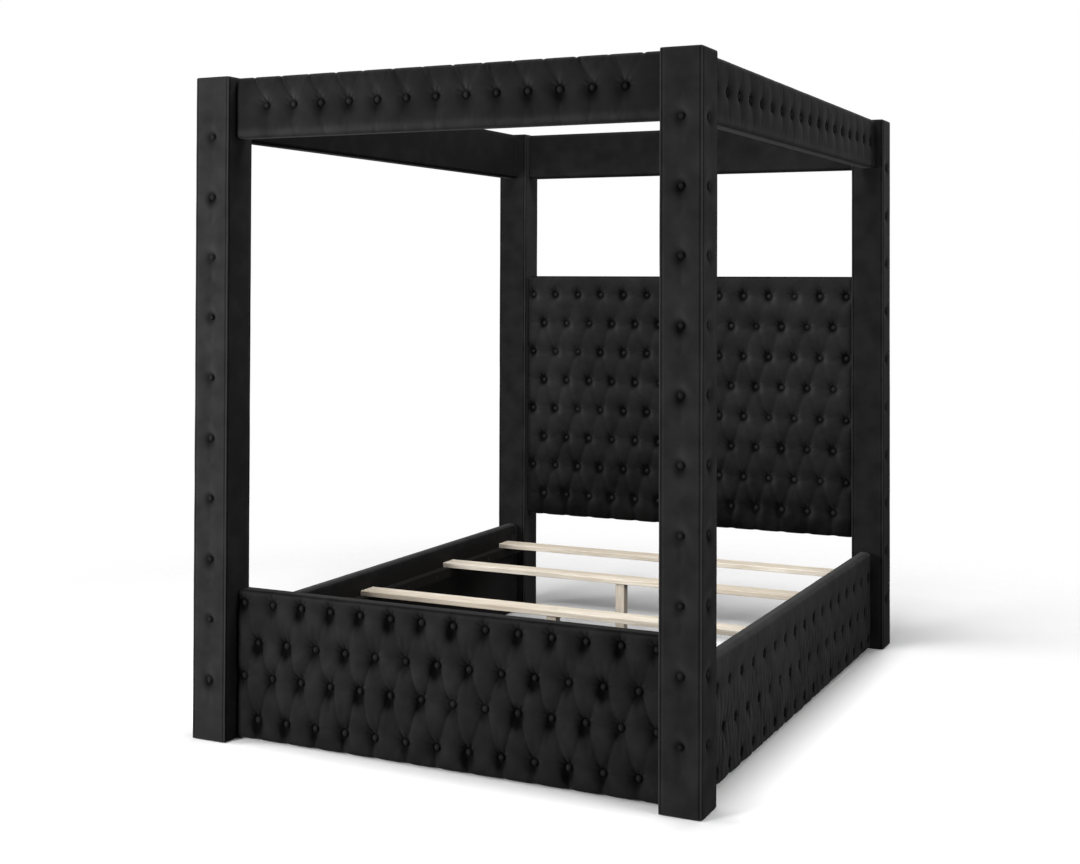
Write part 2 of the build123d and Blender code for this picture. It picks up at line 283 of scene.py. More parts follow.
def tuftField(u, v, spots, pleats, look, chance, standsOut=None):
    # how far the cloth is pulled in at each place, and its painted shade: + darker, - painted highlight
    shape = tuftShape
    away, du, dv, which = nearestButton(u, v, spots)
    count = max(1, len(spots))
    pull = chance.uniform(*shape["pull"], count)[which]
    sideways = chance.uniform(-shape["aside"], shape["aside"], count)[which]
    turn = chance.uniform(0, 2 * math.pi, count)[which]
    beyond = np.maximum(away - look["seat"], 0)
    calm = np.clip(beyond / shape["calmReach"], 0, 1)
    soft, sharp, sides = pleatField(u, v, pleats, chance, look["foldWidth"], look["bow"])
    depth = look["deep"] * np.exp(-beyond / look["fall"])
    trough = np.exp(-((du - sideways) / look["troughHalf"]) ** 2)
    trough *= np.exp(-((dv + look["troughDrop"]) / look["troughLong"]) ** 2)
    folds = shape["softShare"] * soft + shape["sharpShare"] * sharp
    depth += calm * (look["fold"] * folds + look["trough"] * pull * trough)
    depth += calm * look["broad"] * np.exp(-(away / look["broadReach"]) ** 2)
    swells = unevenness(u, v, chance, look["swellSize"], look["swell"])
    depth += calm * np.maximum(swells, -0.5 * look["swell"])
    if standsOut:
        depth += calm * (look["settle"] - look["fill"] * standsOut(u, v))
    rays = np.cos(shape["fanRays"] * np.arctan2(dv, du) + turn)
    fan = rays * np.exp(-((away - shape["fanFrom"]) / shape["fanWidth"]) ** 2)
    fan *= np.clip(shape["fanLow"] + dv / shape["fanRise"], 0, 1)
    depth += look["fan"] * fan * pull
    depth[away < look["seat"]] = look["deep"]
    # painted shade in a pocket below each button, in a ring round it, along the creases and in the fan of
    # wrinkles; painted highlight on one side of each crease and above each button
    shiftU, shiftV = look["pocketShift"]
    pocket = ((du - shiftU - 0.5 * sideways) / look["pocketHalf"]) ** 2
    pocket += ((dv - shiftV) / look["pocketLong"]) ** 2
    rim = np.clip((look["rimReach"] - away) / shape["rimFade"], 0, 1) * (0.6 + 0.4 * pull)
    shade = look["pocketShade"] * pull ** shape["shadePower"] * np.exp(-pocket)
    shade += look["creaseShade"] * sharp * calm
    shade += look["rimShade"] * rim + look["fanShade"] * fan - look["sideLight"] * sides * calm
    lit = ((du + 3 * shiftU) / shape["litHalf"]) ** 2 + ((dv + 1.5 * shiftV) / shape["litLong"]) ** 2
    shade -= look["ridgeLight"] * np.exp(-lit) * calm
    if look["streak"]:
        above = (spots[:, 1].max() + shape["streakAbove"] - v) / shape["streakFade"]
        # the upright pulls dip the cloth and also paint stripes of shade and highlight along it
        pulls = streaks(u, v, chance) * np.clip(above, 0, 1)
        depth += calm * look["streak"] * pulls
        shade += look["streakShade"] * pulls
    return depth, shade


billowLook = {
    "cell": 12 * mm, "spare": 0.012, "frames": 20, "most": 9 * mm, "seat": 15 * mm,
    "quickBulge": 2.5 * mm, "quality": 5, "mass": 0.2, "stretch": 20, "bend": 0.3, "drag": 2, "push": 25,
}


def billow(width, bottom, height, spots):
    # a short cloth simulation: a sheet held at its buttons and edges fills out between them.
    # It gives how far the sheet stands out at any place on the face, scaled to a greatest height
    look = billowLook
    if not len(spots):
        return lambda u, v: np.full_like(u, look["quickBulge"])
    across, up = round(width / look["cell"]), round(height / look["cell"])
    deselectAll()
    bpy.ops.mesh.primitive_grid_add(x_subdivisions=across, y_subdivisions=up, size=1)
    sheet = bpy.context.active_object
    where = points(sheet)
    flat = np.stack([where[:, 0] * width, where[:, 0] * 0, bottom + (where[:, 1] + 0.5) * height], axis=1)
    movePoints(sheet, flat)
    away, _, _, _ = nearestButton(flat[:, 0], flat[:, 2], spots)
    border = np.abs(where[:, :2]).max(axis=1) > 0.4999
    held = sheet.vertex_groups.new(name="held")
    held.add([int(i) for i in np.flatnonzero(border | (away < look["seat"]))], 1, "REPLACE")
    cloth = sheet.modifiers.new("cloth", "CLOTH")
    cloth.settings.vertex_group_mass = "held"
    cloth.settings.quality = look["quality"]
    cloth.settings.mass = look["mass"]
    cloth.settings.tension_stiffness = look["stretch"]
    cloth.settings.compression_stiffness = look["stretch"]
    cloth.settings.bending_stiffness = look["bend"]
    cloth.settings.shrink_min = -look["spare"]
    cloth.settings.air_damping = look["drag"]
    cloth.point_cache.frame_start = 1
    cloth.point_cache.frame_end = look["frames"]
    scene = bpy.context.scene
    scene.gravity = (0, -look["push"], 0)
    for step in range(1, look["frames"] + 1):
        scene.frame_set(step)
    bpy.ops.object.modifier_apply(modifier="cloth")
    out = np.maximum(-points(sheet)[:, 1], 0)
    out *= min(1, look["most"] / out.max())
    scene.gravity = (0, 0, -9.81)
    scene.frame_set(1)
    bpy.data.objects.remove(sheet)
    columns = np.round((where[:, 0] + 0.5) * across).astype(int)
    rows = np.round((where[:, 1] + 0.5) * up).astype(int)
    grid = np.zeros((up + 1, across + 1))
    grid[rows, columns] = out

    def standsOut(u, v):
        x = np.clip((u / width + 0.5) * across, 0, across - 1e-6)
        y = np.clip((v - bottom) / height * up, 0, up - 1e-6)
        i, j = y.astype(int), x.astype(int)
        y, x = y - i, x - j
        lower = grid[i, j] * (1 - x) + grid[i, j + 1] * x
        upper = grid[i + 1, j] * (1 - x) + grid[i + 1, j + 1] * x
        return lower * (1 - y) + upper * y

    return standsOut


def keepShade(piece, shade):
    # stores the painted shade (+ darker) and painted highlight (- lighter) on the points, for the velvet
    # material
    # this attribute carries painted shade and painted highlight
    name = "pile"
    if name not in piece.data.attributes:
        piece.data.attributes.new(name, "FLOAT", "POINT")
    piece.data.attributes[name].data.foreach_set("value", np.ascontiguousarray(shade, dtype=np.float32))


def tuft(piece, spots, pleats, look, chance, shade, standsOut):
    # pulls the front of a piece, which looks along -Y at y = 0, in at its buttons and folds
    where = points(piece)
    front = where[:, 1] < look["skin"]
    deep, dark = tuftField(where[front, 0], where[front, 2], spots, pleats, look, chance, standsOut)
    share = np.clip(1 - where[front, 1] / look["skin"], 0, 1) ** 0.5
    where[front, 1] += deep * share
    shade[front] += dark * share
    movePoints(piece, where)
    return piece


panelLook = {
    "cell": 4.2 * mm, "skin": 14 * mm, "seat": 12.5 * mm, "deep": 13 * mm, "fall": 10 * mm,
    "fold": 4.8 * mm, "foldWidth": 5.5 * mm, "bow": 5 * mm, "swellSize": 0.22, "swell": 1.2 * mm,
    "trough": 6 * mm, "troughHalf": 11 * mm, "troughDrop": 27 * mm, "troughLong": 21 * mm,
    "broad": 2.0 * mm, "broadReach": 34 * mm, "settle": 2.5 * mm, "fill": 0.9, "fan": 1.0 * mm,
    "streak": 0.0,
    "pocketShift": (-3 * mm, -15 * mm), "pocketHalf": 19 * mm, "pocketLong": 31 * mm,
    "pocketShade": 1.5, "creaseShade": 0.65, "ridgeLight": 0.0, "rimShade": 0.7, "rimReach": 18 * mm,
    "fanShade": 0.35, "topShade": 1.0, "lowShade": 0.25, "streakShade": 0.0, "sideLight": 0.15,
    "baseShade": 0.0, "endDrop": 0.0, "endReach": 40 * mm,
}
headboardLook = dict(
    panelLook, cell=4.5 * mm, broad=4 * mm, trough=1.5 * mm, fold=5.5 * mm, foldWidth=7 * mm,
    pocketShift=(-6 * mm, 1 * mm), pocketHalf=13 * mm, pocketLong=22 * mm,
    creaseShade=0.1, ridgeLight=0.55, rimShade=0.4, lowShade=0.8, sideLight=0.25, baseShade=0.12,
)
railLook = dict(
    panelLook, fall=3.2 * mm, settle=1.5 * mm, fill=0.5, broad=0.8 * mm, fold=2.6 * mm, trough=2 * mm,
    troughHalf=8 * mm, pocketShift=(0, -3 * mm), pocketHalf=8 * mm, pocketLong=20 * mm,
    pocketShade=1.8, creaseShade=0.5, rimShade=1.8, topShade=0.0, lowShade=0.35,
    streak=1.1 * mm, streakShade=0.42, baseShade=-0.5, endDrop=14 * mm,
)
canopyLook = dict(
    panelLook, deep=9 * mm, fold=3.8 * mm, settle=2 * mm, fill=0.5, trough=0.0, broad=2 * mm,
    pocketShift=(1 * mm, -16 * mm), pocketHalf=24 * mm, pocketShade=0.8, creaseShade=0.6,
    ridgeLight=0.5, lowShade=0.0, baseShade=0.08, insideShade=0.25, hemLight=0.5,
)
canopySideLook = dict(
    canopyLook, fold=0.7 * mm, fall=5 * mm, broad=0.8 * mm, fill=0.3, settle=1 * mm, swell=0.7 * mm,
    pocketShift=(0, -4 * mm), pocketHalf=8 * mm, pocketLong=20 * mm, pocketShade=1.4,
    creaseShade=0.1, sideLight=0.0, ridgeLight=0.1, rimShade=1.2, rimReach=16 * mm, baseShade=0.3,
    endDrop=14 * mm, endReach=34 * mm, insideShade=0.95,
)
postLook = dict(
    panelLook, deep=8 * mm, fall=8 * mm, fold=1.0 * mm, swell=0.4 * mm, trough=0.0,
    broad=1.2 * mm, pocketShift=(-1 * mm, -12 * mm), pocketHalf=18 * mm, pocketLong=20 * mm,
    pocketShade=1.0, creaseShade=0.1, ridgeLight=0.45, fan=0.0, fanShade=0.0, lowShade=0.0,
    rimShade=0.4, rimReach=17 * mm,
)
# painted shade on the faces of the posts that look towards the foot end: foot posts painted lighter, head
# posts darker
postPaintedShade = {"foot": -0.24, "head": 0.35}

padShape = {
    "edge": 16 * mm, "flange": 16 * mm, "turnIn": 36 * mm, "cloth": 2 * mm, "rowReach": 0.19,
    "sideReach": 0.09, "sameRow": 0.02, "lean": 0.012, "topPleat": 0.25, "hem": 12 * mm,
    "hemPull": 14 * mm, "hemLift": 3 * mm, "slitAside": 0.035, "slitAbove": 0.03, "slitBelow": 0.12,
}


def wrappedPad(name, node, turn, front, look, seed, slits=0.0):
    # padding on the front of a board, folded over its top and down its back
    place, length, depth, bottom, top = localFrame(node, turn)
    shape = padShape
    cell = look["cell"]
    half = length / 2
    piece = startBox(name, (-half, 0, bottom), (half, front, top))
    cutAlong(piece, 2, round((top - bottom) / cell))
    cutAlong(piece, 0, round(length / cell))
    cutAlong(piece, 1, 4)

    editMesh(piece)
    flangeBottom = top - shape["flange"]
    selectOnly(piece, "faces", lambda f: f.normal.y > 0.9 and f.calc_center_median().z > flangeBottom)
    reach = depth - front - shape["cloth"]
    extrudeBy((0, reach / 6, 0), 6)
    extrudeBy((0, shape["cloth"], 0))
    edge = depth - shape["cloth"]
    selectOnly(piece, "faces", lambda f: f.normal.z < -0.9 and f.calc_center_median().y > edge)
    extrudeBy((0, 0, -(shape["turnIn"] - shape["flange"]) / 3), 3)
    margin = 0.6 * cell

    def plainBack(face):
        middle = face.calc_center_median()
        flat = face.normal.y > 0.9 and abs(middle.y - front) < 1e-5
        return flat and abs(middle.x) < half - 2 * margin and middle.z > bottom + 2 * margin

    selectOnly(piece, "faces", plainBack)
    bpy.ops.mesh.dissolve_faces()
    bpy.ops.object.mode_set(mode="OBJECT")

    where = points(piece)
    low, high = (-half, 0, bottom), (half, depth, top)
    movePoints(piece, roundBox(where, low, high, shape["edge"]))

    chance = np.random.default_rng(seed)
    spots = toLocal(place, buttonCentres(node.replace("_pad", "_buttons")))[:, [0, 2]]
    rows = sorted(set(np.round(spots[:, 1], 3)))
    pleats = pleatBetweenRows(spots, shape["rowReach"], shape["sideReach"])
    lowest = [s for s in spots if s[1] < rows[0] + shape["sameRow"]]
    highest = [s for s in spots if s[1] > rows[-1] - shape["sameRow"]]
    lean = shape["lean"]
    pleats += [(u, v, u + chance.uniform(-lean, lean), bottom - 0.01, 1.0) for u, v in lowest]
    pleats += [(u, v, u, top, shape["topPleat"]) for u, v in highest]
    for u, v in spots if slits else []:
        for _ in range(2):
            aside = chance.uniform(-shape["slitAside"], shape["slitAside"])
            slant = chance.uniform(-lean, lean)
            end = (u + aside + slant, v - shape["slitBelow"])
            pleats.append((u + aside, v + shape["slitAbove"], *end, slits))
    where = points(piece)
    # painted shade: darker over the top edge, on the strip turned down the back and towards the bottom,
    # plus a painted base shade, lighter or darker, over the whole pad
    over = np.clip((where[:, 2] - top + 9 * mm) / (8 * mm), 0, 1)
    behind = (where[:, 1] > depth - 3 * mm) * (where[:, 2] < top - 6 * mm)
    low = np.clip(1 - (where[:, 2] - bottom) / (0.5 * (top - bottom)), 0, 1)
    shade = look["baseShade"] + look["topShade"] * over + behind + look["lowShade"] * low ** 1.5
    tuft(piece, spots, pleats, look, chance, shade, billow(length, bottom, top - bottom, spots))
    keepShade(piece, shade)

    where = points(piece)
    hem = np.clip(1 - (where[:, 2] - bottom) / shape["hem"], 0, 1)
    pull = np.zeros(len(where))
    for u, _ in lowest:
        pull = np.maximum(pull, np.exp(-((where[:, 0] - u) / shape["hemPull"]) ** 2))
    where[:, 2] += hem * pull * shape["hemLift"] * (where[:, 1] < front)
    movePoints(piece, where)
    roundEnds(piece, half, bottom, top, look, both=False)
    return finishPad(piece, name, place, node)


def finishPad(piece, name, place, node):
    finishPiece(piece, name, place)
    smoothShade(piece)
    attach(piece, fixedBody)
    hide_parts(node)
    return piece


sleeveShape = {
    "cell": 4.2 * mm, "wall": 18 * mm, "edge": 12 * mm, "outer": (0.38, 0.5), "inner": (0.2, 0.36),
    "innerShare": 0.6, "innerAside": 6 * mm, "innerAbove": 20 * mm, "leftPleat": 1.0, "rightPleat": 0.35,
    "downAside": 0.02, "downPleat": 0.35, "hemAt": 16 * mm, "hemWidth": 15 * mm, "underShade": 0.9,
    "notchHigh": 14 * mm, "notchHalf": 5 * mm, "notchAside": 4, "notchDeep": (1.5, 4),
}


def canopySleeve(name, node, turn, look, seed):
    # a padded sleeve round a canopy rail's board
    place, length, depth, bottom, top = localFrame(node, turn)
    shape = sleeveShape
    cell = shape["cell"]
    half = length / 2
    piece = startBox(name, (-half, 0, bottom), (half, depth, top))
    cutAlong(piece, 2, round((top - bottom) / cell))
    cutAlong(piece, 1, round(depth / cell))
    cutAlong(piece, 0, round(length / cell))
    editMesh(piece)
    for side in (-1, 1):
        selectOnly(piece, "faces", lambda f: f.normal.x * side > 0.9)
        bpy.ops.mesh.dissolve_faces()
    wall = shape["wall"]
    selectOnly(piece, "faces", lambda f: abs(f.normal.x) > 0.9)
    bpy.ops.mesh.inset(thickness=wall, use_individual=True)
    inner = wall * 0.5
    selectOnly(piece, "faces", lambda f: abs(f.normal.x) > 0.9 and len(f.verts) > 4)
    bpy.ops.mesh.bridge_edge_loops()
    bpy.ops.object.mode_set(mode="OBJECT")
    where = points(piece)
    core = (np.abs(where[:, 1] - depth / 2) < depth / 2 - inner)
    core &= (where[:, 2] > bottom + inner) & (where[:, 2] < top - inner)
    rounded = roundBox(where, (-half, 0, bottom), (half, depth, top), shape["edge"])
    movePoints(piece, np.where(core[:, None], where, rounded))

    chance = np.random.default_rng(seed)
    buttonNode = node.replace("_cover", "_buttons")
    spots, pleats = np.zeros((0, 2)), []
    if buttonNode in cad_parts:
        spots = toLocal(place, buttonCentres(buttonNode))[:, [0, 2]]
        pitch = np.diff(np.sort(spots[:, 0])).mean()
        for u, v in spots:
            for side, strength in ((-1, shape["leftPleat"]), (1, shape["rightPleat"])):
                wide = chance.uniform(*shape["outer"])
                pleats.append((u, v, u + side * pitch * wide, top, strength))
                nearer = chance.uniform(*shape["inner"])
                start = (u + side * shape["innerAside"], v + shape["innerAbove"])
                pleats.append((*start, u + side * pitch * nearer, top, shape["innerShare"] * strength))
            aside = chance.uniform(-shape["downAside"], shape["downAside"])
            pleats.append((u, v, u + aside, bottom, shape["downPleat"]))
    where = points(piece)
    # painted highlight along the lower hem of the front, a painted base shade on the front, and painted
    # shade on the inner side and underneath
    low = np.exp(-((where[:, 2] - bottom - shape["hemAt"]) / shape["hemWidth"]) ** 2)
    shade = np.where(where[:, 1] < 8 * mm, look["baseShade"] - look["hemLight"] * low, 0.0)
    shade += look["insideShade"] * (where[:, 1] > 0.8 * depth)
    under = np.clip(1 - (where[:, 2] - bottom) / (5 * mm), 0, 1) * (where[:, 1] > 10 * mm)
    shade += shape["underShade"] * under
    tuft(piece, spots, pleats, look, chance, shade, billow(length, bottom, top - bottom, spots))
    keepShade(piece, shade)
    if len(spots):
        where = points(piece)
        high = np.clip((where[:, 2] - top + shape["notchHigh"]) / shape["notchHigh"], 0, 1)
        high *= where[:, 1] < 0.7 * depth
        for u in np.append(np.sort(spots[:, 0]) + pitch / 2, spots[:, 0].min() - pitch / 2):
            aside = chance.uniform(-shape["notchAside"], shape["notchAside"]) * mm
            notch = np.exp(-((where[:, 0] - u - aside) / shape["notchHalf"]) ** 2)
            where[:, 2] -= chance.uniform(*shape["notchDeep"]) * mm * high * notch
        movePoints(piece, where)
    roundEnds(piece, half, bottom, top, look, both=True)
    return finishPad(piece, name, place, node)


def roundEnds(piece, half, bottom, top, look, both):
    # the soft corners where a padded rail meets a post; both rounds the lower corners too
    where = points(piece)
    into = np.clip((np.abs(where[:, 0]) - half + look["endReach"]) / look["endReach"], 0, 1)
    drop = look["endDrop"] * (1 - np.sqrt(1 - into ** 2))
    height = np.clip((where[:, 2] - bottom) / (top - bottom), 0, 1)
    where[:, 2] -= drop * height ** 4
    if both:
        where[:, 2] += drop * (1 - height) ** 4
    movePoints(piece, where)


def clusterToEnds(values, half, share):
    # moves evenly spaced places towards both ends, where the welts need finer cells
    t = values / half
    return half * ((1 - share) * t + share * (1.5 * t - 0.5 * t ** 3))


postShape = {
    "cell": 7 * mm, "across": 30, "gather": 0.7, "wall": 22 * mm, "edge": 5 * mm,
    "pleatDown": 0.075, "pleatUp": 0.06, "grooveIn": 7.5 * mm, "grooveHalf": 2.5 * mm,
    "groove": 2.2 * mm, "beadIn": 2.5 * mm, "beadHalf": 2.2 * mm, "grooveShade": 1.4, "beadLight": 0.6,
}


def postCover(name, node, tuftedTurns, seed):
    # the padded cover of a post, closed over the top and open underneath round its core
    low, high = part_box(node)
    centre = (low + high) / 2
    half = (high.x - low.x) / 2
    bottom, top = low.z, high.z
    shape = postShape
    wall = shape["wall"]
    piece = startBox(name, (-half, -half, bottom), (half, half, top))
    cutAlong(piece, 2, round((top - bottom) / shape["cell"]))
    cutAlong(piece, 0, shape["across"])
    cutAlong(piece, 1, shape["across"])
    where = points(piece)
    where[:, 0] = clusterToEnds(where[:, 0], half, shape["gather"])
    where[:, 1] = clusterToEnds(where[:, 1], half, shape["gather"])
    movePoints(piece, where)
    editMesh(piece)
    selectOnly(piece, "faces", lambda f: f.normal.z < -0.9)
    bpy.ops.mesh.dissolve_faces()
    selectOnly(piece, "faces", lambda f: f.normal.z < -0.9)
    bpy.ops.mesh.inset(thickness=wall)
    extrudeBy((0, 0, top - bottom - wall))
    bpy.ops.object.mode_set(mode="OBJECT")
    where = points(piece)
    cavity = np.abs(where[:, :2]).max(axis=1) < half - wall + 0.5 * mm
    cavity &= where[:, 2] < top - 0.5 * wall
    # the box reaches below the cover, so that only the top edges are rounded
    rounded = roundBox(where, (-half, -half, bottom - 0.1), (half, half, top), shape["edge"])
    movePoints(piece, np.where(cavity[:, None], where, rounded))

    chance = np.random.default_rng(seed)
    centres = buttonCentres(node.replace("_cover", "_buttons"))
    shade = np.zeros(len(where))
    for turn in (0, 90, 180, -90):
        spin = Matrix.Rotation(math.radians(turn), 4, "Z")
        face = Matrix.Translation((centre.x, centre.y, 0)) @ spin @ Matrix.Translation((0, -half, 0))
        spots = toLocal(face, centres)
        onFace = np.abs(spots[:, 1]) < 20 * mm
        spots = spots[onFace][:, [0, 2]] if turn in tuftedTurns else np.zeros((0, 2))
        toFace = np.array(Matrix.Translation((0, half, 0)) @ spin.inverted())
        where = points(piece)
        local = where @ toFace[:3, :3].T + toFace[:3, 3]
        front = (local[:, 1] < postLook["skin"]) & ~cavity
        u, v = local[front, 0], local[front, 2]
        pleats = [(u0, v0, u0, v0 - shape["pleatDown"], 1.0) for u0, v0 in spots]
        pleats += [(u0, v0, u0, v0 + shape["pleatUp"], 0.6) for u0, v0 in spots]
        deep, dark = tuftField(u, v, spots, pleats, postLook, chance)
        share = np.clip(1 - local[front, 1] / postLook["skin"], 0, 1)
        inFromWelt = half - np.abs(u)
        groove = np.exp(-((inFromWelt - shape["grooveIn"]) / shape["grooveHalf"]) ** 2) * (share > 0.6)
        bead = np.exp(-((inFromWelt - shape["beadIn"]) / shape["beadHalf"]) ** 2)
        local[front, 1] += share * deep + shape["groove"] * groove
        # painted shade in the welt's groove and painted highlight on its bead, on top of the tufts' painted
        # shade
        shade[front] += share * dark + shape["grooveShade"] * groove - shape["beadLight"] * bead
        # painted lighter or darker on the face towards the foot end
        if turn == 0:
            shade[front] += share * postPaintedShade[name.split("_")[0]]
        back = np.linalg.inv(toFace)
        movePoints(piece, local @ back[:3, :3].T + back[:3, 3])
    keepShade(piece, shade)
    place = Matrix.Translation((centre.x, centre.y, 0))
    return finishPad(piece, name, place, node)


liningShape = {"cell": 0.022, "rippleSize": 0.16, "lift": 1.6 * mm, "rim": 0.05}


def clothPanel(name, node, seed):
    # thin cloth stapled flat, as long and as high as its CAD solid and slightly rippled
    low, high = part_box(node)
    size = high - low
    thin = min(range(3), key=lambda axis: size[axis])
    along, up = [axis for axis in range(3) if axis != thin]
    piece = startBox(name, low, high)
    shape = liningShape
    cutAlong(piece, along, round(size[along] / shape["cell"]))
    cutAlong(piece, up, round(size[up] / shape["cell"]))
    where = points(piece)
    chance = np.random.default_rng(seed)
    ripple = unevenness(where[:, along], where[:, up], chance, shape["rippleSize"], 1.0)
    rim = np.minimum(where[:, along] - low[along], high[along] - where[:, along])
    rim = np.minimum(rim, np.minimum(where[:, up] - low[up], high[up] - where[:, up]))
    # ripples lift off the board, which is on the outer side
    way = -1 if (low[thin] + high[thin]) > 0 and node != "headboard_back_cloth" else 1
    free = np.clip(rim / shape["rim"], 0, 1)
    where[:, thin] += way * shape["lift"] * free * (0.5 + 0.5 * np.clip(ripple, -1, 1))
    movePoints(piece, where)
    finishPiece(piece, name)
    smoothShade(piece, 30)
    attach(piece, fixedBody)
    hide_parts(node)
    return piece


# painted shade on the buttons: dark round the rim, faint in the middle
buttonPaintedShade = {"edge": 0.85, "middle": 0.05}
# the buttons along the sides are painted darker, as they sit deep in the shade of their slits
sideButtonPaintedShade = {"edge": 1.3, "middle": 0.7}
buttonShape = {
    "size": (11.5, 11.5, 6.5), "flatten": 0.12, "ringFrom": 0.45, "ringWide": 0.4, "tilt": 0.16,
    "narrowest": 0.9, "paintedShadeSpread": (0.3, 1.1),
}


def coveredButtons(node, seed, look):
    # velvet-covered domes in place of a node's plain buttons, each a little out of true, with painted shade
    # round their rims
    shape = buttonShape
    deselectAll()
    bpy.ops.mesh.primitive_uv_sphere_add(segments=12, ring_count=8, radius=1)
    first = finishPiece(bpy.context.active_object, node + "_first")
    where = points(first)
    reach = np.hypot(where[:, 0], where[:, 1])
    where[:, 2] = np.maximum(where[:, 2], -0.05) * (1 - shape["flatten"] * np.clip(reach, 0, 1))
    movePoints(first, where * np.array(shape["size"]) * mm)
    ring = np.clip((reach - shape["ringFrom"]) / shape["ringWide"], 0, 1)
    chance = np.random.default_rng(seed)
    made = []
    for place in buttonPlaces(node):
        one = first.copy()
        one.data = first.data.copy()
        bpy.context.collection.objects.link(one)
        tilt = Matrix.Rotation(chance.uniform(-shape["tilt"], shape["tilt"]), 4, "X")
        tilt = tilt @ Matrix.Rotation(chance.uniform(-shape["tilt"], shape["tilt"]), 4, "Y")
        wide = chance.uniform(shape["narrowest"], 1)
        size = Matrix.Diagonal((wide, chance.uniform(shape["narrowest"], 1), 1, 1))
        one.data.transform(place @ tilt @ size)
        # painted shade darkens the rim of each dome, stronger or weaker at random
        keepShade(one, (look["edge"] * ring + look["middle"]) * chance.uniform(*shape["paintedShadeSpread"]))
        made.append(one)
    bpy.data.objects.remove(first)
    deselectAll()
    for one in made:
        one.select_set(True)
    bpy.context.view_layer.objects.active = made[0]
    bpy.ops.object.join()
    piece = finishPiece(bpy.context.active_object, node.replace("_buttons", "_covered_buttons"))
    smoothShade(piece, 70)
    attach(piece, fixedBody)
    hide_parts(node)
    return piece


def buttonPlaces(node):
    # where each button of a node sits, with +Z out of the cloth
    places = []
    for small, large in buttonGroups(node):
        seat = (small + large) / 2
        thin = int(np.argmin(large - small))
        # buttons on the sides of the bed face outwards, and all others face the foot end
        side = 1 if thin == 0 and seat[0] > 0 else -1
        seat[thin] = small[thin] if side > 0 else large[thin]
        out = Vector([side if axis == thin else 0 for axis in range(3)])
        turn = out.to_track_quat("Z", "X").to_matrix().to_4x4()
        places.append(Matrix.Translation(seat) @ turn)
    return places


pads = [
    wrappedPad("footboard_tufting", "footboard_pad", 0, 26 * mm, panelLook, 11),
    wrappedPad("headboard_tufting", "headboard_pad", 0, 28 * mm, headboardLook, 12),
    wrappedPad("right_rail_tufting", "right_rail_pad", 90, 24 * mm, railLook, 13, 0.55),
    wrappedPad("left_rail_tufting", "left_rail_pad", -90, 24 * mm, railLook, 14, 0.55),
]
print("stage: tufted panels made")
pads += [
    canopySleeve("canopy_foot_sleeve", "canopy_foot_cover", 0, canopyLook, 21),
    canopySleeve("canopy_head_sleeve", "canopy_head_cover", 180, canopyLook, 22),
    canopySleeve("canopy_right_sleeve", "canopy_right_cover", 90, canopySideLook, 23),
    canopySleeve("canopy_left_sleeve", "canopy_left_cover", -90, canopySideLook, 24),
]
print("stage: canopy sleeves made")
pads += [
    postCover("foot_left_post_upholstery", "foot_left_post_cover", (0, -90), 31),
    postCover("foot_right_post_upholstery", "foot_right_post_cover", (0, 90), 32),
    postCover("head_left_post_upholstery", "head_left_post_cover", (-90,), 33),
    postCover("head_right_post_upholstery", "head_right_post_cover", (90,), 34),
]
print("stage: post covers made")
sheets = [
    clothPanel("footboard_dust_lining", "footboard_lining", 41),
    clothPanel("headboard_back_lining", "headboard_back_cloth", 42),
    clothPanel("left_rail_dust_lining", "left_rail_lining", 43),
    clothPanel("right_rail_dust_lining", "right_rail_lining", 44),
]
print("stage: linings made")
coveredNames = [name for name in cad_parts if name.endswith("_buttons")]
buttons = []
for number, name in enumerate(sorted(coveredNames)):
    along = name.endswith("_rail_buttons") or name in ("canopy_left_buttons", "canopy_right_buttons")
    buttons.append(coveredButtons(name, 51 + number, sideButtonPaintedShade if along else buttonPaintedShade))
print("stage: buttons made")


def linear(code):
    # sRGB hex to linear RGBA
    values = [int(code[i:i + 2], 16) / 255 for i in (1, 3, 5)]
    return [v / 12.92 if v <= 0.04045 else ((v + 0.055) / 1.055) ** 2.4 for v in values] + [1.0]


def addNode(tree, kind, settings=None, links=None):
    # settings are properties or input values; links are input name to output socket
    node = tree.nodes.new(kind)
    for key, value in (settings or {}).items():
        if key in node.inputs.keys() or isinstance(key, int):
            node.inputs[key].default_value = value
        else:
            setattr(node, key, value)
    for key, socket in (links or {}).items():
        tree.links.new(socket, node.inputs[key])
    return node


def newMaterial(name, settings):
    made = bpy.data.materials.new(name)
    made.use_nodes = True
    shader = made.node_tree.nodes["Principled BSDF"]
    for key, value in settings.items():
        shader.inputs[key].default_value = value
    return made, made.node_tree, shader


def placed(tree, scale=(1, 1, 1)):
    where = addNode(tree, "ShaderNodeTexCoord").outputs["Object"]
    return addNode(tree, "ShaderNodeMapping", {"Scale": scale}, {"Vector": where}).outputs[0]


def mixColour(tree, factor, first, second):
    node = addNode(tree, "ShaderNodeMix", {"data_type": "RGBA"}, {0: factor})
    node.inputs[6].default_value = linear(first)
    node.inputs[7].default_value = linear(second)
    return node.outputs[2]


# away is the painted-shade colour, level the plain velvet and towards the painted-highlight colour; patch,
# pile, nap and strokes are the cloth's own grain and random tone
velvetTextureAndPaintedShade = {
    "away": "#030303", "level": "#1d1d1d", "towards": "#323232",
    "patch": 80, "pile": 1.3, "nap": 14, "strokes": 0.22,
}


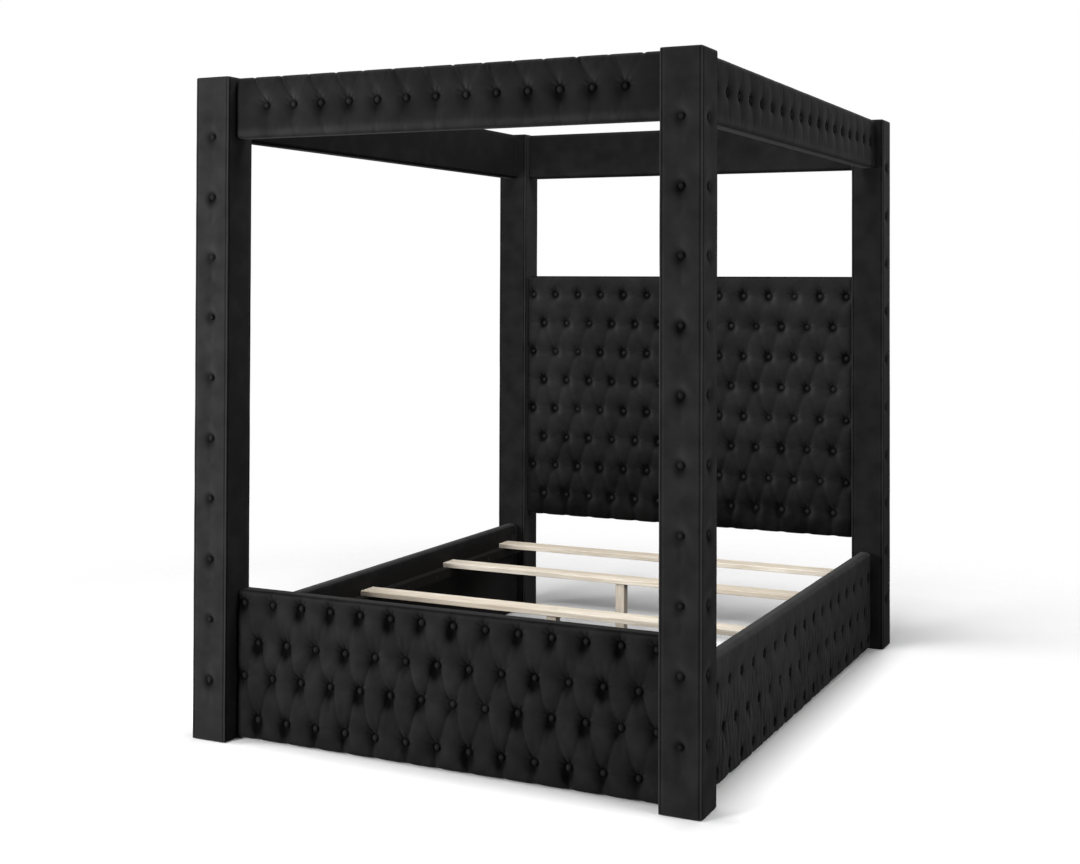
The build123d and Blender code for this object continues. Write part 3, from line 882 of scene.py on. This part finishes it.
def blackVelvet():
    # charcoal velvet: a matt, dense pile, darker where painted shade is stored and paler where painted
    # highlight is stored, with random patches
    look = velvetTextureAndPaintedShade
    made, tree, shader = newMaterial("black_velvet", {
        "Roughness": 0.85, "Sheen Weight": 0.06, "Sheen Roughness": 0.45,
        "Sheen Tint": linear("#d0d0d0"), "Specular IOR Level": 0.05, "IOR": 1.45,
    })
    where = placed(tree)
    patches = addNode(tree, "ShaderNodeTexNoise", {"Scale": 1000 / look["patch"], "Detail": 4.0},
                      {"Vector": where})
    stroked = {"From Min": 0.3, "From Max": 0.7, "To Min": -look["strokes"], "To Max": look["strokes"]}
    strokes = addNode(tree, "ShaderNodeMapRange", stroked, {"Value": patches.outputs[0]})
    # reads the painted shade and painted highlight stored on the points
    lean = addNode(tree, "ShaderNodeAttribute", {"attribute_name": "pile"})
    total = addNode(tree, "ShaderNodeMath", {"operation": "ADD"},
                    {0: strokes.outputs[0], 1: lean.outputs["Fac"]})
    along = addNode(tree, "ShaderNodeMapRange", {"From Min": -1.0, "From Max": 1.0},
                    {"Value": total.outputs[0]})
    ramp = addNode(tree, "ShaderNodeValToRGB", {}, {0: along.outputs[0]})
    ramp.color_ramp.elements[0].color = linear(look["towards"])
    ramp.color_ramp.elements[1].color = linear(look["away"])
    ramp.color_ramp.elements.new(0.5).color = linear(look["level"])
    tree.links.new(ramp.outputs[0], shader.inputs["Base Color"])
    pile = addNode(tree, "ShaderNodeTexNoise", {"Scale": 1000 / look["pile"], "Detail": 2.0},
                   {"Vector": where})
    nap = addNode(tree, "ShaderNodeTexNoise", {"Scale": 1000 / look["nap"], "Detail": 3.0},
                  {"Vector": where})
    soft = addNode(tree, "ShaderNodeBump", {"Strength": 0.2, "Distance": 1.0 * mm},
                   {"Height": nap.outputs[0]})
    fine = addNode(tree, "ShaderNodeBump", {"Strength": 0.3, "Distance": 0.3 * mm},
                   {"Height": pile.outputs[0], "Normal": soft.outputs[0]})
    tree.links.new(fine.outputs[0], shader.inputs["Normal"])
    return made


def nonwovenLining():
    # spun-bonded polypropylene dust cloth: dull brown-black, with a fine pressed dot
    made, tree, shader = newMaterial("spunbond_lining", {"Roughness": 0.92, "Specular IOR Level": 0.2})
    where = placed(tree)
    cloudy = addNode(tree, "ShaderNodeTexNoise", {"Scale": 22.0, "Detail": 5.0}, {"Vector": where})
    colour = mixColour(tree, cloudy.outputs[0], "#080706", "#120f0e")
    tree.links.new(colour, shader.inputs["Base Color"])
    dots = addNode(tree, "ShaderNodeTexVoronoi", {"Scale": 1000 / 3.0}, {"Vector": where})
    bump = addNode(tree, "ShaderNodeBump", {"Strength": 0.3, "Distance": 0.3 * mm},
                   {"Height": dots.outputs[0]})
    tree.links.new(bump.outputs[0], shader.inputs["Normal"])
    return made


def planedPine(name, stretch, light, dark):
    # pale planed pine: straight brown grain lines, close together, and a dull unfinished face
    made, tree, shader = newMaterial(name, {"Roughness": 0.62, "Specular IOR Level": 0.35})
    where = placed(tree, stretch)
    wander = addNode(tree, "ShaderNodeTexNoise", {"Scale": 9.0, "Detail": 3.0}, {"Vector": where})
    grain = addNode(tree, "ShaderNodeTexNoise", {"Scale": 120.0, "Detail": 6.0, "Distortion": 0.4},
                    {"Vector": where})
    mixed = addNode(tree, "ShaderNodeMath", {"operation": "MULTIPLY"},
                    {0: wander.outputs[0], 1: grain.outputs[0]})
    shade = addNode(tree, "ShaderNodeMapRange", {"From Min": 0.15, "From Max": 0.38},
                    {"Value": mixed.outputs[0]})
    colour = mixColour(tree, shade.outputs[0], dark, light)
    tree.links.new(colour, shader.inputs["Base Color"])
    bump = addNode(tree, "ShaderNodeBump", {"Strength": 0.25, "Distance": 0.3 * mm},
                   {"Height": grain.outputs[0]})
    tree.links.new(bump.outputs[0], shader.inputs["Normal"])
    return made


def zincSteel():
    # bright zinc plate on cold-headed steel
    made, tree, shader = newMaterial("zinc_plated_steel", {"Metallic": 1.0, "Roughness": 0.35})
    where = placed(tree)
    cloudy = addNode(tree, "ShaderNodeTexNoise", {"Scale": 400.0, "Detail": 3.0}, {"Vector": where})
    tree.links.new(mixColour(tree, cloudy.outputs[0], "#a8aaac", "#c9cbcc"), shader.inputs["Base Color"])
    return made


def phosphatedSteel():
    # black phosphated chipboard screws
    made, tree, shader = newMaterial("black_phosphated_steel", {"Metallic": 0.6, "Roughness": 0.55})
    where = placed(tree)
    cloudy = addNode(tree, "ShaderNodeTexNoise", {"Scale": 500.0, "Detail": 3.0}, {"Vector": where})
    tree.links.new(mixColour(tree, cloudy.outputs[0], "#121212", "#1f1f20"), shader.inputs["Base Color"])
    return made


def mouldedNylon():
    # black injection-moulded nylon with a fine spark-eroded grain
    made, tree, shader = newMaterial("moulded_nylon", {"Roughness": 0.5})
    where = placed(tree)
    grit = addNode(tree, "ShaderNodeTexNoise", {"Scale": 1500.0, "Detail": 2.0}, {"Vector": where})
    tree.links.new(mixColour(tree, grit.outputs[0], "#141415", "#1d1d1f"), shader.inputs["Base Color"])
    bump = addNode(tree, "ShaderNodeBump", {"Strength": 0.2, "Distance": 0.1 * mm},
                   {"Height": grit.outputs[0]})
    tree.links.new(bump.outputs[0], shader.inputs["Normal"])
    return made


def paleFloor():
    # matt white vinyl studio floor that runs out into the white surround
    made, tree, shader = newMaterial("pale_floor", {"Roughness": 0.6})
    where = placed(tree)
    cloudy = addNode(tree, "ShaderNodeTexNoise", {"Scale": 1.2, "Detail": 2.0}, {"Vector": where})
    tree.links.new(mixColour(tree, cloudy.outputs[0], "#f0f0f0", "#f4f4f4"), shader.inputs["Base Color"])
    outward = addNode(tree, "ShaderNodeVectorMath", {"operation": "LENGTH"}, {0: where})
    faded = {"From Min": 1.7, "From Max": 3.6, "interpolation_type": "SMOOTHSTEP"}
    fade = addNode(tree, "ShaderNodeMapRange", faded, {"Value": outward.outputs["Value"]})
    clear = addNode(tree, "ShaderNodeBsdfTransparent")
    both = addNode(tree, "ShaderNodeMixShader", {},
                   {0: fade.outputs[0], 1: shader.outputs[0], 2: clear.outputs[0]})
    tree.links.new(both.outputs[0], tree.nodes["Material Output"].inputs["Surface"])
    return made


def dress(piece, material):
    piece.data.materials.clear()
    piece.data.materials.append(material)


velvet = blackVelvet()
lining = nonwovenLining()
pineTone = {"light": "#d7cfc2", "dark": "#b3a694"}
slatPine = planedPine("planed_pine_lengthways", (0.06, 1, 1), **pineTone)
legPine = planedPine("planed_pine_upright", (1, 1, 0.06), **pineTone)
steel = zincSteel()
blackSteel = phosphatedSteel()
nylon = mouldedNylon()

for pad in pads + buttons:
    dress(pad, velvet)
for sheet in sheets:
    dress(sheet, lining)
for name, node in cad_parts.items():
    if name == "ledge_screws":
        dress(node, blackSteel)
    elif name.endswith("_screws") or name == "bed_bolts":
        dress(node, steel)
    elif name.endswith("_glide") or name == "post_glides":
        dress(node, nylon)
    elif name.endswith("_leg"):
        dress(node, legPine)
    elif name.startswith("slat_"):
        dress(node, slatPine)
    elif name.endswith("_lining") or name.endswith("_back_cloth") or name.endswith("_ledge"):
        dress(node, lining)
    elif name.endswith("_post_core"):
        dress(node, legPine)
    elif name.endswith("_board"):
        dress(node, velvet)
print("stage: materials set")


studio = {"floor": 30.0, "lightFromAround": 0.09}

deselectAll()
bpy.ops.mesh.primitive_plane_add(size=studio["floor"])
floor = finishPiece(bpy.context.active_object, "floor")
dress(floor, paleFloor())
# the floor looks white but throws no light up under the bed
floor.visible_diffuse = False
floor.visible_glossy = False

# a white surround that lights the bed only softly, as a large white studio does
world = bpy.data.worlds.new("studio_world")
bpy.context.scene.world = world
world.use_nodes = True
background = world.node_tree.nodes["Background"]
background.inputs["Color"].default_value = linear("#ffffff")
seen = addNode(world.node_tree, "ShaderNodeLightPath")
strength = addNode(world.node_tree, "ShaderNodeMapRange", {"To Min": studio["lightFromAround"]},
                   {"Value": seen.outputs["Is Camera Ray"]})
world.node_tree.links.new(strength.outputs[0], background.inputs["Strength"])
bpy.context.scene.view_settings.view_transform = "Standard"


def areaLight(name, where, aim, size, power):
    deselectAll()
    bpy.ops.object.light_add(type="AREA", location=where)
    light = bpy.context.active_object
    light.name = name
    light.data.size = size
    light.data.energy = power
    way = Vector(aim) - Vector(where)
    light.rotation_euler = way.to_track_quat("-Z", "Y").to_euler()


# where each light stands, where it looks, its size in metres and its power in watts
lights = {
    "key": ((-1.9, -4.8, 1.5), (0, 0, 1.0), 1.2, 250),
    "rake": ((-4.4, -2.6, 2.0), (0, 0.6, 1.0), 1.4, 150),
    "fill": ((3.4, -1.2, 1.3), (0, 0, 1.0), 1.6, 66),
    "top": ((0, -0.3, 5.2), (0, 0, 1.0), 2.2, 260),
    "back": ((1.5, 5.0, 3.0), (0, 0, 1.0), 3.0, 95),
}
for name, facts in lights.items():
    areaLight(name, *facts)

cameraFacts = {
    "place": (2.361, -5.3195, 1.5395), "turn": (90.813, -0.186, 25.562), "lens": 50.995,
    "filmWidth": 36, "shiftY": -0.1622,
}
deselectAll()
bpy.ops.object.camera_add(location=cameraFacts["place"])
camera = bpy.context.active_object
camera.rotation_euler = [math.radians(angle) for angle in cameraFacts["turn"]]
camera.data.lens = cameraFacts["lens"]
camera.data.sensor_width = cameraFacts["filmWidth"]
camera.data.shift_y = cameraFacts["shiftY"]
bpy.context.scene.camera = camera
print("stage: camera and lights set")
